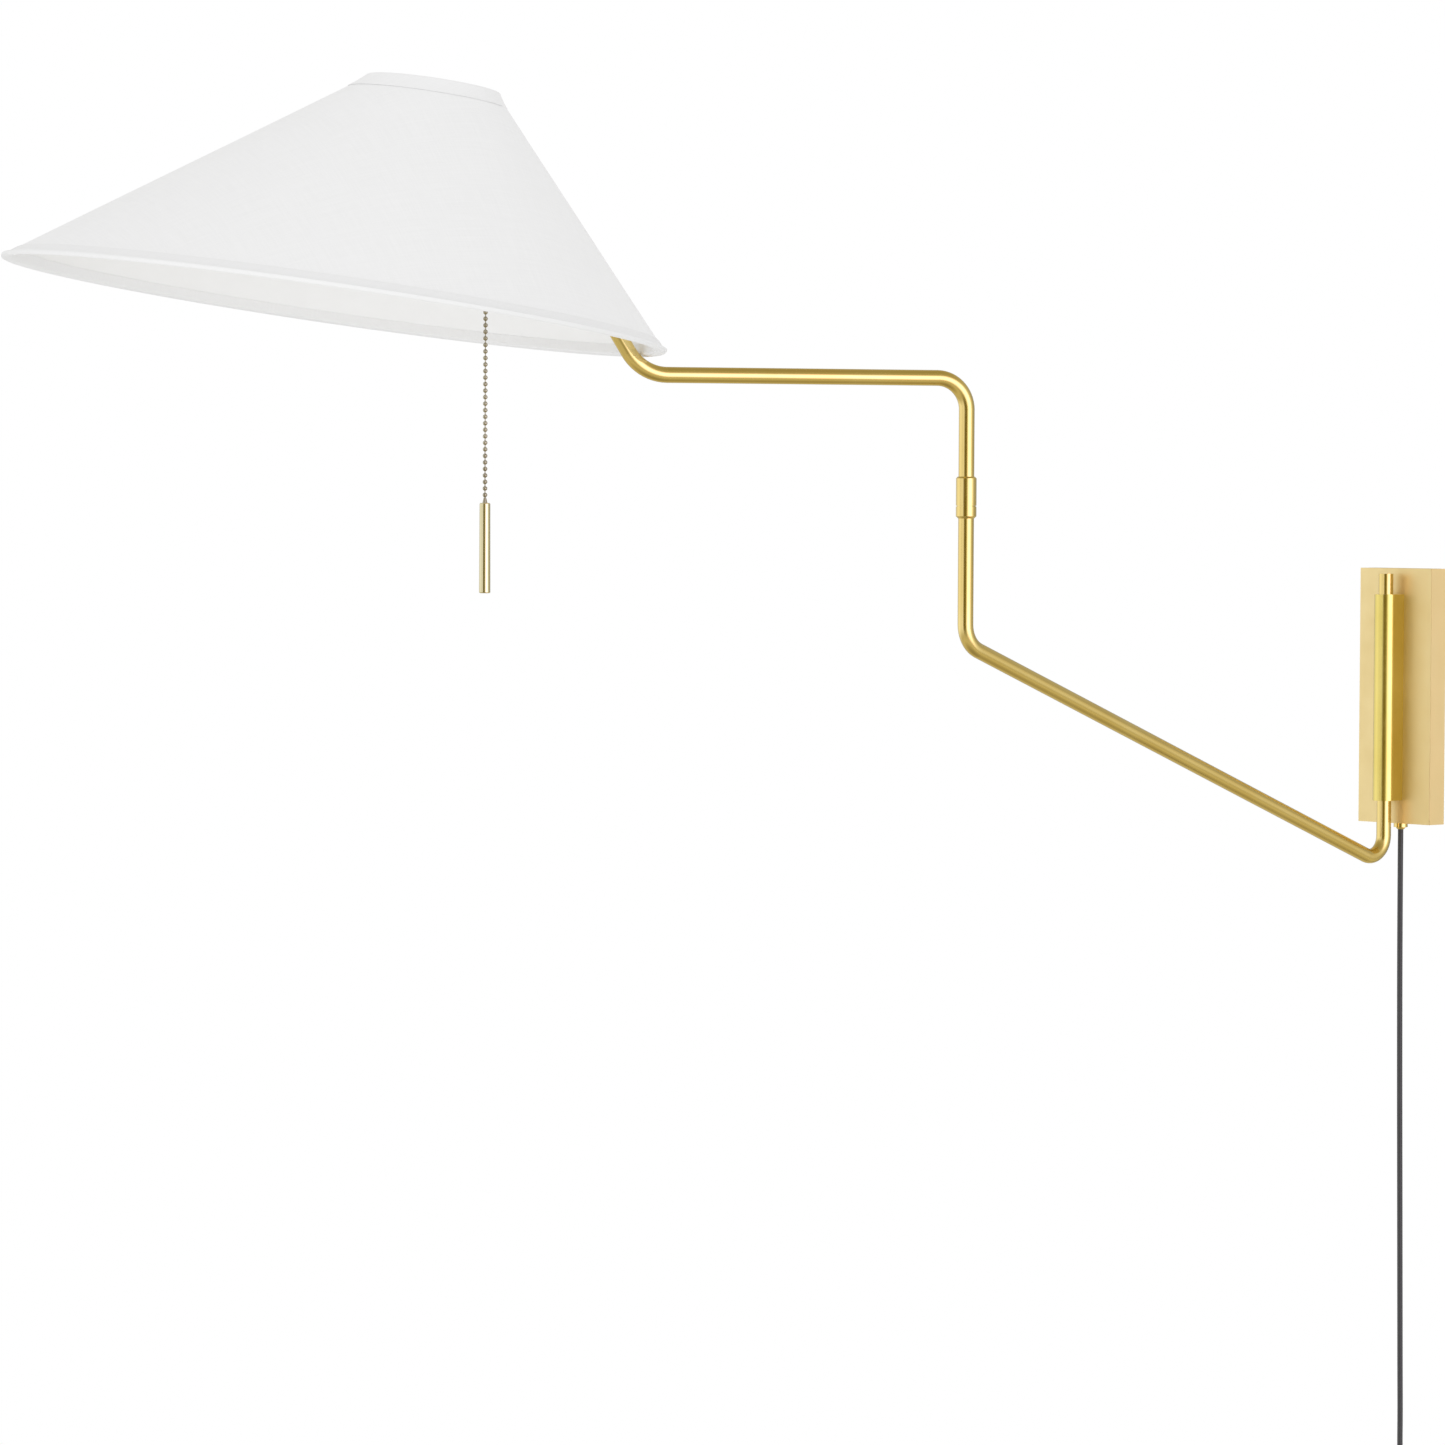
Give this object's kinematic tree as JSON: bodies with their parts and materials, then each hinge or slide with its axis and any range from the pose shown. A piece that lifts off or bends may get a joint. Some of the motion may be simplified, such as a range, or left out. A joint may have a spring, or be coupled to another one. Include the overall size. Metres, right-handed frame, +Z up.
{
  "type": "swing arm wall sconce",
  "caption": "Plug-in swing arm wall lamp: brass tube arms on a wall plate, a tipping asymmetric linen shade and a pull chain switch.",
  "frame": {"origin": "centre of the wall plate's back face, on the wall", "axes": "+Z up, +Y into the wall, -Y out along the straight lower arm, +X to the right of someone facing the wall"},
  "size_m": [0.4525, 1.1094, 1.1972],
  "materials": {
    "satin_brass": "satin",
    "chain_brass": "satin",
    "zinc_steel": "satin",
    "nylon": "matte",
    "cord_jacket": "matte",
    "black_plastic": "matte",
    "terminal_plastic": "matte",
    "nickel": "polished",
    "insulating_paper": "matte",
    "frosted_glass": "frosted",
    "linen": "matte",
    "liner": "matte",
    "trim_tape": "matte"
  },
  "bodies": {
    "wall_mount": {"wall_bracket": "zinc_steel", "backplate_cover": "satin_brass", "cover_screws": "satin_brass", "barrel": "satin_brass", "barrel_screws": "zinc_steel", "barrel_bushes": "nylon", "cord_gland": "satin_brass", "gland_nut": "zinc_steel", "cord_clamp": "zinc_steel", "supply_lead": "cord_jacket", "terminal_block": "terminal_plastic", "terminal_screws": "zinc_steel", "fixture_lead": "cord_jacket", "cord_drop": "cord_jacket", "cord_coil": "cord_jacket", "cord_tail": "cord_jacket", "cord_tie": "black_plastic", "plug_body": "black_plastic", "plug_blades": "nickel"},
    "lower_arm": {"lower_arm_tube": "satin_brass", "tube_end_cap": "satin_brass", "swing_collars": "zinc_steel", "elbow_ring": "satin_brass", "elbow_stud": "zinc_steel", "elbow_washer": "satin_brass", "lower_arm_wire": "cord_jacket"},
    "upper_arm": {"upper_arm_tube": "satin_brass", "elbow_sleeve": "satin_brass", "sleeve_set_screw": "zinc_steel", "upper_arm_wire": "cord_jacket", "knuckle_fork": "satin_brass", "tilt_bolt": "satin_brass", "tilt_nut": "satin_brass"},
    "shade_head": {"socket_bracket": "satin_brass", "socket_nipple": "satin_brass", "nipple_nuts": "satin_brass", "socket_cap": "satin_brass", "socket_shell": "satin_brass", "socket_insulator": "insulating_paper", "socket_switch_block": "black_plastic", "screw_shell": "nickel", "centre_contact": "satin_brass", "chain_outlet": "satin_brass", "bulb_glass": "frosted_glass", "bulb_base": "nickel", "bulb_contact": "nickel", "shade_fabric": "linen", "shade_liner": "liner", "shade_top_ring": "satin_brass", "shade_bottom_ring": "zinc_steel", "shade_top_trim": "trim_tape", "shade_bottom_trim": "trim_tape", "shade_spider": "satin_brass"},
    "switch_link": {"switch_bead": "chain_brass"},
    "chain": {"pull_chain": "chain_brass", "chain_coupling": "chain_brass", "pull_bar": "satin_brass"}
  },
  "joints": [
    {"name": "wall_swing", "type": "hinge", "parent": "wall_mount", "child": "lower_arm", "pos_m": [0, -0.0275, 0], "axis": [0, 0, 1], "range_deg": [-90, 90]},
    {"name": "elbow_swing", "type": "hinge", "parent": "lower_arm", "child": "upper_arm", "pos_m": [0, -0.4695, 0], "axis": [0, 0, 1], "range_deg": [-126, 174]},
    {"name": "shade_tilt", "type": "hinge", "parent": "upper_arm", "child": "shade_head", "pos_m": [-0.13968, -0.78323, 0.4], "axis": [0.9135, -0.4067, 0], "range_deg": [0, 20]},
    {"name": "chain_pull", "type": "slide", "parent": "shade_head", "child": "switch_link", "axis": [0, 0, -1], "range_m": [0, 0.01], "stiffness_N_per_m": 300, "springref_m": -0.004},
    {"name": "chain_swing", "type": "hinge", "parent": "switch_link", "child": "chain", "pos_m": [-0.13198, -0.79715, 0.3649], "axis": [0.9135, -0.4067, 0], "range_deg": [-24, 35]}
  ]
}
